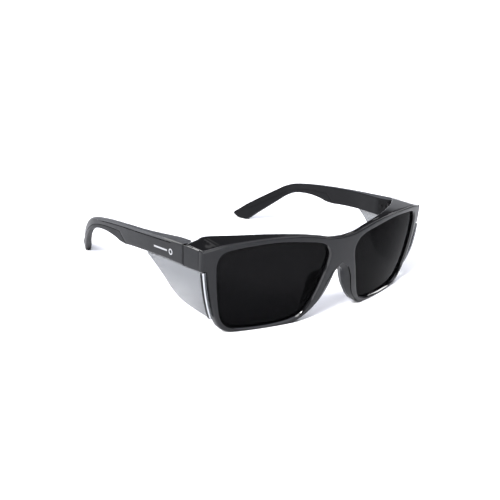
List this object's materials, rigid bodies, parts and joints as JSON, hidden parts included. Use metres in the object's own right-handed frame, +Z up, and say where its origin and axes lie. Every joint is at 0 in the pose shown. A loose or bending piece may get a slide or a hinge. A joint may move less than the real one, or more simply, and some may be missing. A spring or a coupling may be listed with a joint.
{
  "type": "safety spectacles",
  "caption": "Wraparound safety spectacles with smoke lenses, a glossy brow ledge, clear side shields and folding arms with soft ends.",
  "frame": {"origin": "on the resting plane, under the middle of the whole object with its arms open", "axes": "+Z up; the lenses face -Y; the wearer's left is +X; the arms run back along +Y"},
  "size_m": [0.1446, 0.1654, 0.0471],
  "materials": {
    "frame_satin": "fine satin moulded nylon",
    "temple_satin": "fine satin moulded nylon",
    "brow_gloss": "polished",
    "lens_smoke": "polished dark smoke polycarbonate",
    "shield_clear": "polished clear polycarbonate",
    "strip_black": "polished",
    "soft_black": "soft matt",
    "grip_soft": "soft matt",
    "hinge_steel": "brushed",
    "rivet_steel": "brushed"
  },
  "bodies": {
    "front": {"front_frame": "frame_satin", "brow_guard": "brow_gloss", "lens_left": "lens_smoke", "lens_right": "lens_smoke", "nose_pad_left": "soft_black", "nose_pad_right": "soft_black", "side_shield_left": "shield_clear", "side_shield_right": "shield_clear", "shield_strip_left": "strip_black", "shield_strip_right": "strip_black", "hinge_front_leaf_left": "hinge_steel", "hinge_front_leaf_right": "hinge_steel", "front_leaf_rivets": "rivet_steel", "hinge_screw_left": "hinge_steel", "hinge_screw_right": "hinge_steel"},
    "arm_left": {"temple_left": "temple_satin", "ear_grip_left": "grip_soft", "hinge_temple_leaf_left": "hinge_steel", "temple_leaf_rivets_left": "rivet_steel"},
    "arm_right": {"temple_right": "temple_satin", "ear_grip_right": "grip_soft", "hinge_temple_leaf_right": "hinge_steel", "temple_leaf_rivets_right": "rivet_steel"}
  },
  "joints": [
    {"name": "hinge_left", "type": "hinge", "parent": "front", "child": "arm_left", "pos_m": [0.064, -0.0512, 0.0374], "axis": [0, 0, 1], "range_deg": [0, 87]},
    {"name": "hinge_right", "type": "hinge", "parent": "front", "child": "arm_right", "pos_m": [-0.064, -0.0512, 0.0374], "axis": [0, 0, -1], "range_deg": [0, 77]}
  ]
}
